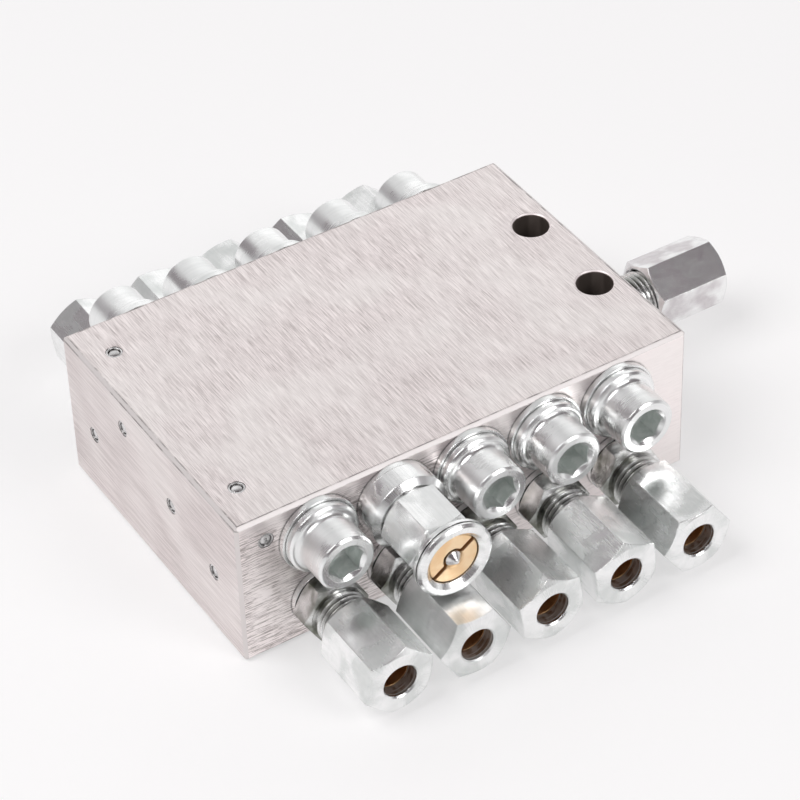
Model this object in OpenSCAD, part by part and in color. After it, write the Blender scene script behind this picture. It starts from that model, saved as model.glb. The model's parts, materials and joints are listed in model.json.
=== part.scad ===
// Progressive lubricant divider block. Five spool pistons cross one drilled steel block and
// send measured shots of grease to ten outlets, five on each side. Each outlet has a spring
// loaded check ball and a cutting-ring tube fitting, and one piston carries an indicator pin.
// Frame: the origin lies midway between the two mounting holes on the underside, +X points
// to the inlet end, -Y to the side with the indicator and +Z up.

/* [Block] */
// Width of the block, along the piston bores
block_w = 60; // [56:1:84]
// Distance from the closed end to the first piston axis
closed_margin = 15; // [12:0.5:24]
// Distance from the last piston axis to the inlet end
inlet_margin = 15; // [14:0.5:24]
// Material above the piston axes
piston_cover = 7.6; // [7.2:0.1:14]
// Chamfer along the edges of the block
edge_break = 0.6; // [0.2:0.1:1]

/* [Mounting holes] */
// Diameter of the two mounting holes, M6 clearance
hole_d = 6.6; // [4.5:0.1:8]
// Distance of the mounting holes from the inlet end
hole_edge = 5.3; // [5:0.1:6.5]
// Spacing of the mounting holes
hole_spacing = 20; // [18:0.5:34]
// Chamfer at the mouths of the mounting holes
hole_chamfer = 0.3; // [0.2:0.1:0.8]

/* [Pistons] */
// Diameter of the piston bores
piston_d = 7; // [5:0.1:8.6]
// Full travel of a piston
piston_stroke = 6.8; // [4:0.2:8.2]
// Running clearance of a piston, on the radius
piston_fit = 0.03; // [0.01:0.01:0.08]
// Diameter of a piston at its waists
waist_d = 4.6; // [3.6:0.1:4.8]
// Length of each waist
waist_l = 6; // [4:0.5:8]
// Length of the middle land
mid_land_l = 6; // [4:0.5:8]
// Depth of the balancing grooves on the end lands
groove_depth = 0.3; // [0.1:0.05:0.5]

/* [Closure plugs] */
// Thread diameter of a closure plug
plug_thread_d = 11; // [10:0.1:12]
// Length of a plug inside the block
plug_in = 8.5; // [6:0.5:11]
// Diameter of the sealing washer under a plug
plug_washer_d = 14.4; // [13.8:0.1:18]
// Thickness of all sealing washers
washer_t = 1.2; // [0.8:0.1:1.6]
// Diameter of the collar on a plug
collar_d = 13.4; // [12.4:0.1:14]
// Thickness of the collar on a plug
collar_t = 1.7; // [1:0.1:2.5]
// Diameter of a plug's head
head_d = 10.6; // [10:0.1:11.6]
// Height of a plug above the block
plug_h = 9.8; // [8:0.1:12]
// Width across flats of the hexagon socket
socket_af = 6; // [4.8:0.1:6.6]
// Depth of the hexagon socket
socket_depth = 5; // [4.5:0.1:6]

/* [Outlet fittings] */
// Thread diameter of the outlet and inlet ports
port_d = 10; // [9:0.1:10.6]
// Depth of an outlet port
port_depth = 14; // [13:0.5:16]
// Length of a fitting inside the block
stub_in = 8; // [7:0.5:9]
// Width across flats of a fitting's own hexagon
stub_af = 11; // [10.8:0.1:12]
// Length of an outlet fitting's hexagon
stub_hex_l = 4.6; // [3:0.1:7]
// Thread diameter of the neck that takes the union nut
neck_d = 10; // [9.2:0.1:10.2]
// Core diameter of the neck where its thread turns lie bare
neck_core_d = 8.8; // [8.2:0.1:9]
// Length of the neck
neck_l = 10.2; // [9:0.1:13]
// Width across flats of a union nut
nut_af = 12; // [12:0.1:15]
// Length of a union nut
nut_l = 15.2; // [14:0.1:19]
// Bare neck between a fitting's hexagon and its union nut
nut_gap = 4.4; // [3:0.1:5]
// Height of the lowest nut corner above the underside
nut_floor_gap = 1.27; // [0.5:0.01:5]
// Outside diameter of the tube that a fitting takes
tube_d = 6; // [4.8:0.1:6.2]

/* [Check valves] */
// Diameter of a check ball
ball_d = 4; // [3.4:0.1:4.4]
// Hole through a valve seat
seat_hole_d = 2.4; // [1.8:0.1:2.6]
// Outside diameter of a valve seat
seat_d = 6.4; // [6:0.1:7]
// Length of a valve seat
seat_l = 2; // [1.8:0.1:2.6]
// Length from a fitting's inner end to the shoulder that holds its spring
spring_room = 11.5; // [10:0.1:13]
// Wire diameter of a check spring
wire_d = 0.4; // [0.3:0.05:0.5]
// Turns of a check spring
spring_turns = 4; // [3:1:6]

/* [Inlet fitting] */
// Height of the inlet axis above the underside
inlet_z = 12.2; // [9:0.1:16]
// Length of the inlet fitting's hexagon
inlet_hex_l = 6.6; // [3:0.1:8]
// Bore of the inlet fitting
inlet_bore_d = 4; // [3:0.1:5]

/* [Indicator] */
// Number of the element that carries the indicator
indicator_element = 2; // [1:1:5]
// Diameter of the housing's round base
ind_base_d = 14.6; // [13:0.1:14.6]
// Length of the housing's round base above its washer
ind_base_l = 4.8; // [3:0.1:6]
// Width across flats of the housing
ind_af = 12; // [11.6:0.1:12.6]
// Height of the housing above the block
ind_h = 19.3; // [17:0.1:24]
// Diameter of the housing's end rim
rim_d = 14.4; // [12.6:0.1:14.6]
// Length of the end rim
rim_l = 2.4; // [1.8:0.1:3]
// Diameter of the slotted gland screw
gland_d = 9.6; // [8:0.1:9.8]
// Length of the gland screw
gland_l = 5; // [4:0.1:6]
// Bevel from the rim's face down to the gland screw
rim_bevel = 0.8; // [0.3:0.1:1.2]
// Depth of the gland screw below the rim
gland_recess = 0.9; // [0.4:0.1:1.5]
// Width of the slot across the gland screw
slot_w = 0.9; // [0.6:0.1:1.4]
// Depth of the slot across the gland screw
slot_depth = 1.1; // [0.6:0.1:1.6]
// Diameter of the indicator pin
pin_d = 3; // [2:0.1:3.2]
// Running clearance of the pin, on the radius
pin_fit = 0.05; // [0.02:0.01:0.1]
// Thickness of the pin seal
seal_t = 1.4; // [1.2:0.05:1.6]

/* [Drillings] */
// Diameter of the two galleries that feed the pistons
gallery_d = 3; // [2.4:0.1:3.4]
// Diameter of the linking drillings
link_d = 2.4; // [1.8:0.1:2.6]
// Diameter of the pressed plugs that close the drillings
closer_d = 3; // [2.7:0.1:3.6]
// Length of a pressed plug
closer_l = 3.5; // [2.5:0.1:4.5]
// Distance of the link drillings from the closed end
link_inset = 5.5; // [4:0.1:7]
// Distance of the link drillings from the side faces
link_side = 9; // [8.5:0.1:10.5]

/* [Hidden] */
round_fn = 96;
elements = [1, 2, 3, 4, 5];
NEAR = -1;
FAR = 1;
SIDES = [NEAR, FAR];

// Small gaps and allowances
thread_gap = 0.05;
nut_thread_gap = 0.1;
seat_gap = 0.02;
rest_gap = 0.05;
end_gap = 0.1;
side_gap = 0.6;
row_gap = 1.4;
ball_gap = 0.3;
tube_gap = 0.15;
socket_gap = 0.05;
tail_gap = 0.1;
over = 1;

// Turn of each nut and plug about its own axis, in degrees
near_nut_turn = [17, 0, 36, 33, 5];
far_nut_turn = [25, 8, 48, 14, 40];
near_plug_turn = [12, 0, 40, 25, 5];
far_plug_turn = [30, 5, 50, 20, 44];
inlet_nut_turn = 7;
gland_slot_turn = 34;

// Places of the rows and the faces of the block
pitch = max(plug_washer_d, nut_af / cos(30)) + side_gap;
block_l = closed_margin + 4 * pitch + inlet_margin;
inlet_x = hole_edge;
closed_x = inlet_x - block_l;
outlet_z = nut_af / sqrt(3) + nut_floor_gap;
base_rise = max(plug_washer_d, ind_base_d) / 2 + stub_af / 2 + row_gap;
rim_rise = max(rim_d / 2, ind_af / sqrt(3)) + nut_af / 2 + side_gap;
row_rise = max(base_rise, rim_rise);
piston_z = outlet_z + row_rise;
block_t = piston_z + piston_cover;
function element_x(number) = closed_x + closed_margin + (number - 1) * pitch;

// Heights along a plug or fitting, measured outwards from the face of the block
collar_top = washer_t + collar_t;
head_fillet = 0.9;
hex_face_inset = 0.3;
chamber_l = 1;
outlet_hex_top = washer_t + stub_hex_l;
inlet_hex_top = washer_t + inlet_hex_l;
spring_stop = spring_room - stub_in;
mouth_r = tube_d / 2 + tube_gap;
socket_r = mouth_r + socket_gap;
socket_l = 7.5;
cone_l = 5;
cone_half_angle = 12;
mouth_l = 3;
nut_lead = 0.4;
ring_l = 1.4;
shoulder_inset = 0.5;
tail_room = 0.5;

// Check ball at rest on its 45 degree seat, measured from the fitting's inner end
ball_r = ball_d / 2;
chamber_r = ball_r + ball_gap;
seat_cone_l = chamber_r - seat_hole_d / 2;
ball_rest = -stub_in + seat_l - seat_cone_l + sqrt(2) * ball_r - seat_hole_d / 2 + rest_gap;
coil_inset = 0.45;
coil_r = ball_r - coil_inset;
coil_low = ball_rest + sqrt(pow(ball_r + wire_d / 2, 2) - pow(coil_r, 2)) + rest_gap;
coil_high = spring_stop - wire_d / 2 - rest_gap;

// Piston between its two plugs, resting at the far side
piston_l = block_w - 2 * plug_in - piston_stroke - 2 * end_gap;
end_land_l = (piston_l - 2 * waist_l - mid_land_l) / 2;
piston_rest_y = block_w / 2 - plug_in - end_gap;
pin_socket_l = 4;
pin_proud = 0.2;
pin_root_y = piston_rest_y - piston_l + pin_socket_l;
pin_l = pin_root_y + block_w / 2 + ind_h + pin_proud;

// Galleries and links inside the block
gallery_below = 0.9;
gallery_above = 1.4;
link_above = 0.5;
cross_above = 2.6;
gallery_low = [-7, piston_z - piston_d / 2 - gallery_below];
gallery_high = [9, piston_z + gallery_above];
link_z = outlet_z + port_d / 2 + link_above;
cross_link_z = piston_z + cross_above;

// Colours of the metals and the seal
ground_steel = "#d6cdca";
zinc_plate = "#c9ccce";
bright_steel = "#b8babd";
spring_steel = "#8f9296";
brass = "#d3a055";
bronze = "#b4824a";
seal_black = "#26262a";

// Shared shapes

// Solid of revolution about Z from an outline of radius and height pairs
module turned(outline) {
    rotate_extrude($fn = round_fn) polygon(outline);
}

// Hexagon bar between two heights, with its corners turned back by 30 degrees at both ends
module hex_bar(af, low, high, turn) {
    corner_r = af / sqrt(3);
    face_r = af / 2 - hex_face_inset;
    outer_r = corner_r + over;
    bevel = (outer_r - face_r) * tan(30);
    intersection() {
        translate([0, 0, low]) rotate([0, 0, turn]) cylinder(r = corner_r, h = high - low, $fn = 6);
        turned([
            [0, low], [face_r, low], [outer_r, low + bevel],
            [outer_r, high - bevel], [face_r, high], [0, high]
        ]);
    }
}

// Flat ring between two heights
module ring(inner_r, outer_r, low, high) {
    turned([[inner_r, low], [outer_r, low], [outer_r, high], [inner_r, high]]);
}

// Puts a fitting on a side face at an element, its own +Z pointing outwards
module on_side(side, number, z) {
    translate([element_x(number), side * block_w / 2, z]) rotate([-90 * side, 0, 0]) children();
}

// Puts a fitting on the inlet end, its own +Z pointing outwards
module on_inlet() {
    translate([inlet_x, 0, inlet_z]) rotate([0, 90, 0]) children();
}

// Straight drilling from one point to another
module drilling(from, to, d) {
    run = to - from;
    translate(from) rotate([0, acos(run.z / norm(run)), atan2(run.y, run.x)])
        cylinder(d = d, h = norm(run), $fn = round_fn);
}

// Wire wound into a helix about Z between two heights
module coil(mean_r, wire_r, turns, low, high) {
    steps = 9;
    sides = 6;
    rings = turns * steps;
    points = [for (k = [0 : rings], j = [0 : sides - 1])
        let (around = 360 * k / steps, across = 360 * j / sides, r = mean_r + wire_r * cos(across))
        [r * cos(around), r * sin(around), low + (high - low) * k / rings + wire_r * sin(across)]];
    skin = [for (k = [0 : rings - 1], j = [0 : sides - 1], half = [0, 1])
        let (a = k * sides + j, b = k * sides + (j + 1) % sides)
        half == 0 ? [a, a + sides, b + sides] : [a, b + sides, b]];
    start_cap = [for (j = [0 : sides - 1]) j];
    end_cap = [for (j = [sides - 1 : -1 : 0]) rings * sides + j];
    polyhedron(points, concat(skin, [start_cap, end_cap]));
}

// Block

// Rectangle about the origin with its corners cut back by the edge chamfer
module chamfered_rect(a, b) {
    x = a / 2;
    y = b / 2;
    c = edge_break;
    polygon([
        [-x + c, -y], [x - c, -y], [x, -y + c], [x, y - c],
        [x - c, y], [-x + c, y], [-x, y - c], [-x, -y + c]
    ]);
}

// Bar with every edge chamfered
module blank() {
    translate([closed_x + block_l / 2, 0, block_t / 2]) intersection() {
        linear_extrude(block_t, center = true) chamfered_rect(block_l, block_w);
        rotate([90, 0, 0]) linear_extrude(block_w, center = true) chamfered_rect(block_l, block_t);
        rotate([90, 0, 90]) linear_extrude(block_l, center = true) chamfered_rect(block_w, block_t);
    }
}

// Through hole with a chamfer at both mouths
module mounting_hole() {
    r = hole_d / 2;
    flare = r + hole_chamfer + over;
    turned([
        [0, -over], [flare, -over], [r, hole_chamfer], [r, block_t - hole_chamfer],
        [flare, block_t + over], [0, block_t + over]
    ]);
}

// Piston bore with its threaded plug holes and the end chambers behind them
module piston_bore() {
    plug_hole_l = plug_in + chamber_l;
    translate([0, 0, piston_z]) rotate([90, 0, 0])
        cylinder(d = piston_d, h = block_w, center = true, $fn = round_fn);
    for (side = SIDES) translate([0, side * block_w / 2, piston_z]) rotate([-90 * side, 0, 0])
        translate([0, 0, -plug_hole_l]) cylinder(d = plug_thread_d, h = plug_hole_l + over, $fn = round_fn);
}

// Outlet port with the slanted drilling that joins it to the end chamber above
module outlet_port(side) {
    face_y = side * block_w / 2;
    end_wall = 0.3;
    chamber_y = face_y - side * (plug_in + chamber_l / 2);
    port_y = face_y - side * (port_depth - link_d / 2 - end_wall);
    translate([0, face_y, outlet_z]) rotate([-90 * side, 0, 0])
        translate([0, 0, -port_depth]) cylinder(d = port_d, h = port_depth + over, $fn = round_fn);
    drilling(
        [0, chamber_y, piston_z - plug_thread_d / 2 + link_d / 2],
        [0, port_y, outlet_z + port_d / 2 - link_d / 2],
        link_d
    );
}

// Inlet port and the slanted drilling that takes the lubricant to the lower gallery
module inlet_port() {
    port_l = stub_in + chamber_l;
    on_inlet() translate([0, 0, -port_l]) cylinder(d = port_d, h = port_l + over, $fn = round_fn);
    drilling(
        [inlet_x - port_l + chamber_l / 2, 0, inlet_z],
        [(element_x(3) + element_x(4)) / 2, gallery_low[0], gallery_low[1]],
        link_d
    );
}

// Where each pressed plug sits: the mouth of a drilling and the direction it faces
CLOSERS = [
    [[closed_x + link_inset, -block_w / 2 + link_side, block_t], [0, 0, 0]],
    [[closed_x + link_inset, block_w / 2 - link_side, block_t], [0, 0, 0]],
    [[closed_x, -block_w / 2 + link_side, link_z], [0, -90, 0]],
    [[closed_x, block_w / 2 - link_side, link_z], [0, -90, 0]],
    [[closed_x, gallery_low[0], gallery_low[1]], [0, -90, 0]],
    [[closed_x, gallery_high[0], gallery_high[1]], [0, -90, 0]],
    [[closed_x + link_inset, -block_w / 2, cross_link_z], [90, 0, 0]]
];

// Long galleries, the links at the closed end and the seats of the pressed plugs
module cross_drillings() {
    link_x = closed_x + link_inset;
    last_x = element_x(5);
    for (gallery = [gallery_low, gallery_high])
        drilling([closed_x - over, gallery[0], gallery[1]], [last_x, gallery[0], gallery[1]], gallery_d);
    for (side = SIDES) {
        y = side * (block_w / 2 - link_side);
        drilling([closed_x - over, y, link_z], [element_x(1), y, link_z], link_d);
        drilling([link_x, y, link_z], [link_x, y, block_t + over], link_d);
    }
    drilling(
        [link_x, -block_w / 2 - over, cross_link_z],
        [link_x, block_w / 2 - link_side, cross_link_z],
        link_d
    );
    for (closer = CLOSERS) translate(closer[0]) rotate(closer[1])
        translate([0, 0, -closer_l]) cylinder(d = closer_d, h = closer_l + over, $fn = round_fn);
}

module block() {
    color(ground_steel) difference() {
        blank();
        for (number = elements) translate([element_x(number), 0, 0]) {
            piston_bore();
            for (side = SIDES) outlet_port(side);
        }
        for (y = [-1, 1] * hole_spacing / 2) translate([0, y, 0]) mounting_hole();
        inlet_port();
        cross_drillings();
    }
}

// Pressed plug with a sunk dome inside a thin lip
module drilling_closer() {
    r = closer_d / 2 - seat_gap;
    lip = 0.35;
    lip_drop = 0.1;
    dome_r = r - lip;
    sink = 0.5;
    rise = 0.35;
    turned([
        [0, -closer_l], [r, -closer_l], [r, -lip_drop], [dome_r, -lip_drop], [dome_r, -sink],
        for (a = [15 : 15 : 90]) [dome_r * cos(a), -sink + rise * sin(a)]
    ]);
}

module drilling_closers() {
    color(bright_steel) for (closer = CLOSERS) translate(closer[0]) rotate(closer[1]) drilling_closer();
}

// Pistons

// Spool with three lands, two waists and balancing grooves, standing on its far end
module spool() {
    r = piston_d / 2 - piston_fit;
    waist_r = waist_d / 2;
    groove_r = r - groove_depth;
    bevel = 0.4;
    groove_w = 0.5;
    groove_at = [2.5, 4.5];
    waist_at = [end_land_l, end_land_l + waist_l + mid_land_l];
    difference() {
        turned([
            [0, 0], [r - bevel, 0], [r, bevel],
            [r, piston_l - bevel], [r - bevel, piston_l], [0, piston_l]
        ]);
        for (z = waist_at) ring(waist_r, r + over, z, z + waist_l);
        for (z = groove_at) {
            ring(groove_r, r + over, z, z + groove_w);
            ring(groove_r, r + over, piston_l - z - groove_w, piston_l - z);
        }
    }
}

// Piston at rest, with a socket for the indicator pin on the one that carries it
module piston(number) {
    pin_socket_r = pin_d / 2 + seat_gap;
    color(bright_steel) translate([element_x(number), piston_rest_y, piston_z]) rotate([90, 0, 0])
        difference() {
            spool();
            if (number == indicator_element) translate([0, 0, piston_l - pin_socket_l])
                cylinder(r = pin_socket_r, h = pin_socket_l + over, $fn = round_fn);
        }
}

// Closure plugs

// Turned plug with a washer face, a collar, a filleted head and a hexagon socket
module closure_plug(turn) {
    spigot_r = plug_thread_d / 2 - thread_gap;
    collar_r = collar_d / 2;
    head_r = head_d / 2;
    bevel = 0.4;
    lead = 0.7;
    mouth_wider = 0.7;
    socket_mouth_r = socket_af / 2 + mouth_wider;
    drill_inset = 0.3;
    drill_r = socket_af / 2 - drill_inset;
    drill_point = 1;
    join = 0.01;
    fillet = [for (a = [0 : 15 : 90])
        [head_r + head_fillet * (1 - sin(a)), collar_top + head_fillet * (1 - cos(a))]];
    difference() {
        turned(concat(
            [[0, -plug_in], [spigot_r - lead, -plug_in], [spigot_r, -plug_in + lead], [spigot_r, washer_t]],
            [[collar_r, washer_t], [collar_r, collar_top - bevel], [collar_r - bevel, collar_top]],
            fillet,
            [[head_r, plug_h - bevel], [head_r - bevel, plug_h], [0, plug_h]]
        ));
        translate([0, 0, plug_h - socket_depth]) rotate([0, 0, turn])
            cylinder(r = socket_af / sqrt(3), h = socket_depth + over, $fn = 6);
        translate([0, 0, plug_h - socket_mouth_r]) cylinder(
            r1 = 0, r2 = socket_mouth_r + over, h = socket_mouth_r + over, $fn = round_fn
        );
        translate([0, 0, plug_h - socket_depth - drill_point])
            cylinder(r1 = 0, r2 = drill_r, h = drill_point + join, $fn = round_fn);
    }
}

module near_plugs() {
    color(zinc_plate) for (number = elements) if (number != indicator_element)
        on_side(NEAR, number, piston_z) closure_plug(near_plug_turn[number - 1]);
}

module far_plugs() {
    color(zinc_plate) for (number = elements)
        on_side(FAR, number, piston_z) closure_plug(far_plug_turn[number - 1]);
}

// Sealing washers under the plugs and the indicator
module plug_washers() {
    inner_r = plug_thread_d / 2 + thread_gap;
    color(zinc_plate) for (number = elements, side = SIDES)
        on_side(side, number, piston_z) ring(inner_r, plug_washer_d / 2, 0, washer_t);
}

// Tube fittings

// Sealing washers under the ten outlet fittings and the inlet fitting
module fitting_washers() {
    inner_r = port_d / 2 + thread_gap;
    washer_proud = 0.2;
    outer_r = stub_af / 2 + washer_proud;
    color(zinc_plate) {
        for (number = elements, side = SIDES)
            on_side(side, number, outlet_z) ring(inner_r, outer_r, 0, washer_t);
        on_inlet() ring(inner_r, outer_r, 0, washer_t);
    }
}

// Outside of a tube fitting: threaded spigot, hexagon, bare core and the neck under the nut
module stub_body(hex_top, turn) {
    spigot_r = port_d / 2 - thread_gap;
    neck_r = neck_d / 2;
    neck_end = hex_top + neck_l;
    core_r = neck_core_d / 2;
    core_end = hex_top + nut_gap + nut_lead;
    lead = 0.6;
    turned([
        [0, -stub_in], [spigot_r - lead, -stub_in], [spigot_r, -stub_in + lead], [spigot_r, washer_t],
        [core_r, washer_t], [core_r, core_end], [neck_r, core_end + neck_r - core_r],
        [neck_r, neck_end - lead], [neck_r - lead, neck_end], [0, neck_end]
    ]);
    hex_bar(stub_af, washer_t, hex_top, turn);
}

// Tube socket with a 24 degree mouth for the cutting ring
module tube_socket(hex_top) {
    neck_end = hex_top + neck_l;
    widen = tan(cone_half_angle);
    turned([
        [0, neck_end - socket_l], [socket_r, neck_end - socket_l], [socket_r, neck_end - cone_l],
        [socket_r + (cone_l + over) * widen, neck_end + over], [0, neck_end + over]
    ]);
}

// Outlet fitting with its valve seat pocket, ball and spring chamber and tube socket
module outlet_stub(turn) {
    pocket_r = seat_d / 2;
    seat_top = -stub_in + seat_l;
    passage_r = coil_r - wire_d;
    difference() {
        stub_body(outlet_hex_top, turn);
        turned([
            [0, -stub_in - over], [pocket_r, -stub_in - over], [pocket_r, seat_top], [chamber_r, seat_top],
            [chamber_r, spring_stop], [passage_r, spring_stop], [passage_r, outlet_hex_top + neck_l],
            [0, outlet_hex_top + neck_l]
        ]);
        tube_socket(outlet_hex_top);
    }
}

module inlet_stub() {
    color(zinc_plate) on_inlet() difference() {
        stub_body(inlet_hex_top, inlet_nut_turn);
        translate([0, 0, -stub_in - over])
            cylinder(d = inlet_bore_d, h = stub_in + inlet_hex_top + neck_l, $fn = round_fn);
        tube_socket(inlet_hex_top);
    }
}

// Heights where the cutting ring bears on the neck and on the nut
function ring_face(hex_top) = hex_top + neck_l + rest_gap;
function ring_back(hex_top) = ring_face(hex_top) + ring_l;

// Union nut: thread, 45 degree pressing cone, room for the ring's tail and the tube mouth
module union_nut(hex_top, turn) {
    rear = hex_top + nut_gap;
    end = rear + nut_l;
    thread_r = neck_d / 2 + nut_thread_gap;
    tail_r = socket_r + tail_room;
    mouth_bevel = 0.3;
    cone_base = ring_back(hex_top) + rest_gap - (thread_r - shoulder_r());
    difference() {
        hex_bar(nut_af, rear, end, turn);
        turned([
            [0, rear - over], [thread_r + nut_lead + over, rear - over], [thread_r, rear + nut_lead],
            [thread_r, cone_base], [tail_r, cone_base + thread_r - tail_r], [tail_r, end - mouth_l],
            [mouth_r, end - mouth_l], [mouth_r, end - mouth_bevel],
            [mouth_r + mouth_bevel + over, end + over], [0, end + over]
        ]);
    }
}

// Radius of the ring's shoulder under the nut
function shoulder_r() = neck_d / 2 - shoulder_inset;

// Cutting ring: a nose in the neck's cone, a shoulder under the nut's cone and a plain tail
module cutting_ring(hex_top) {
    inner_r = mouth_r + seat_gap;
    widen = tan(cone_half_angle);
    nose_l = 3;
    nose_gap = 0.1;
    neck_end = hex_top + neck_l;
    front_r = socket_r + (cone_l - nose_l) * widen - nose_gap;
    face_r = socket_r + cone_l * widen - nose_gap;
    tail_r = socket_r + tail_room - tail_gap;
    tail_end = hex_top + nut_gap + nut_l - mouth_l - rest_gap;
    back = ring_back(hex_top);
    turned([
        [inner_r, neck_end - nose_l], [front_r, neck_end - nose_l], [face_r, neck_end],
        [face_r, ring_face(hex_top)], [shoulder_r(), ring_face(hex_top)], [shoulder_r(), back],
        [tail_r, back + shoulder_r() - tail_r], [tail_r, tail_end], [inner_r, tail_end]
    ]);
}

module cutting_rings() {
    color(bronze) {
        for (number = elements, side = SIDES) on_side(side, number, outlet_z) cutting_ring(outlet_hex_top);
        on_inlet() cutting_ring(inlet_hex_top);
    }
}

module stub(side, number) {
    color(zinc_plate) on_side(side, number, outlet_z) outlet_stub(0);
}

module nut(side, number) {
    turn = (side == NEAR ? near_nut_turn : far_nut_turn)[number - 1];
    color(zinc_plate) on_side(side, number, outlet_z) union_nut(outlet_hex_top, turn);
}

module inlet_nut() {
    color(zinc_plate) on_inlet() union_nut(inlet_hex_top, inlet_nut_turn);
}

// Check valves

// Pressed seat with a 45 degree face for the ball
module valve_seat() {
    hole_r = seat_hole_d / 2;
    outer_r = seat_d / 2 - seat_gap;
    top = -stub_in + seat_l;
    turned([
        [hole_r, -stub_in], [outer_r, -stub_in], [outer_r, top], [chamber_r, top], [hole_r, top - seat_cone_l]
    ]);
}

module valve_seats() {
    color(brass) for (number = elements, side = SIDES) on_side(side, number, outlet_z) valve_seat();
}

module ball(side, number) {
    color(bright_steel) on_side(side, number, outlet_z)
        translate([0, 0, ball_rest]) sphere(d = ball_d, $fn = round_fn);
}

module spring(side, number) {
    color(spring_steel) on_side(side, number, outlet_z)
        coil(coil_r, wire_d / 2, spring_turns, coil_low, coil_high);
}

// Indicator

// Housing: threaded spigot, round base, hexagon, grooved end rim, gland seat, seal pocket, pin guide
module indicator_housing() {
    spigot_r = plug_thread_d / 2 - thread_gap;
    base_r = ind_base_d / 2;
    rim_r = rim_d / 2;
    guide_r = pin_d / 2 + pin_fit;
    base_top = washer_t + ind_base_l;
    rim_low = ind_h - rim_l;
    waist_inset = 0.15;
    waist_r = ind_af / 2 - waist_inset;
    rim_mid = rim_low + rim_l / 2;
    lead = 0.7;
    bevel = 0.5;
    shoulder = 1;
    base_groove = 0.3;
    rim_groove = 0.6;
    line_w = 0.3;
    line_depth = 0.25;
    gland_low = ind_h - gland_recess - gland_l;
    seat_r = gland_d / 2 + thread_gap;
    pocket_r = seal_r() + seal_t / 2 + rest_gap;
    pocket_low = gland_low - seal_t - 2 * rest_gap;
    color(zinc_plate) on_side(NEAR, indicator_element, piston_z) difference() {
        union() {
            turned([
                [0, -plug_in], [spigot_r - lead, -plug_in], [spigot_r, -plug_in + lead], [spigot_r, washer_t],
                [base_r, washer_t], [base_r, base_top - shoulder], [base_r - shoulder, base_top],
                [waist_r, base_top], [waist_r, rim_low], [rim_r - bevel, rim_low], [rim_r, rim_low + bevel],
                [rim_r, rim_mid], [rim_r - line_depth, rim_mid], [rim_r - line_depth, rim_mid + line_w],
                [rim_r, rim_mid + line_w], [rim_r, ind_h - bevel], [rim_r - bevel, ind_h], [0, ind_h]
            ]);
            hex_bar(ind_af, base_top + base_groove, rim_low - rim_groove, 0);
        }
        turned([
            [0, -plug_in - over], [guide_r, -plug_in - over], [guide_r, pocket_low],
            [pocket_r, pocket_low], [pocket_r, gland_low], [seat_r, gland_low],
            [seat_r, ind_h - rim_bevel], [seat_r + rim_bevel + over, ind_h + over], [0, ind_h + over]
        ]);
    }
}

// Radius of the seal's centre line round the pin
function seal_r() = pin_d / 2 + seal_t / 2 + rest_gap;

module indicator_seal() {
    gland_low = ind_h - gland_recess - gland_l;
    color(seal_black) on_side(NEAR, indicator_element, piston_z)
        translate([0, 0, gland_low - seal_t / 2 - rest_gap])
        rotate_extrude($fn = round_fn) translate([seal_r(), 0]) circle(d = seal_t, $fn = round_fn);
}

// Slotted screw that holds the seal and guides the pin
module indicator_gland() {
    r = gland_d / 2;
    guide_r = pin_d / 2 + pin_fit;
    low = ind_h - gland_recess - gland_l;
    high = low + gland_l;
    mouth = 0.5;
    bevel = 0.25;
    color(brass) on_side(NEAR, indicator_element, piston_z) difference() {
        turned([
            [guide_r, low], [r - bevel, low], [r, low + bevel], [r, high - bevel], [r - bevel, high],
            [guide_r + mouth, high], [guide_r, high - mouth]
        ]);
        rotate([0, 0, gland_slot_turn]) translate([-r - over, -slot_w / 2, high - slot_depth])
            cube([2 * (r + over), slot_w, slot_depth + over]);
    }
}

// Pin that rides on the piston and comes out through the gland once a cycle
module indicator_pin() {
    r = pin_d / 2;
    point_r = 0.35;
    tip = r - point_r;
    color(bright_steel) translate([element_x(indicator_element), pin_root_y, piston_z]) rotate([90, 0, 0])
        turned([[0, 0], [r, 0], [r, pin_l - tip], [point_r, pin_l], [0, pin_l]]);
}

block();
near_plugs();
far_plugs();
plug_washers();
fitting_washers();
drilling_closers();
indicator_housing();
indicator_gland();
indicator_seal();
indicator_pin();
inlet_stub();
inlet_nut();
cutting_rings();
valve_seats();
for (number = elements) piston(number);
for (number = elements) stub(NEAR, number);
for (number = elements) stub(FAR, number);
for (number = elements) nut(NEAR, number);
for (number = elements) nut(FAR, number);
for (number = elements) ball(NEAR, number);
for (number = elements) ball(FAR, number);
for (number = elements) spring(NEAR, number);
for (number = elements) spring(FAR, number);
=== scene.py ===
"""Finishes, neck threads, valve springs and stage for a progressive lubricant divider block."""
import json
import math

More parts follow.
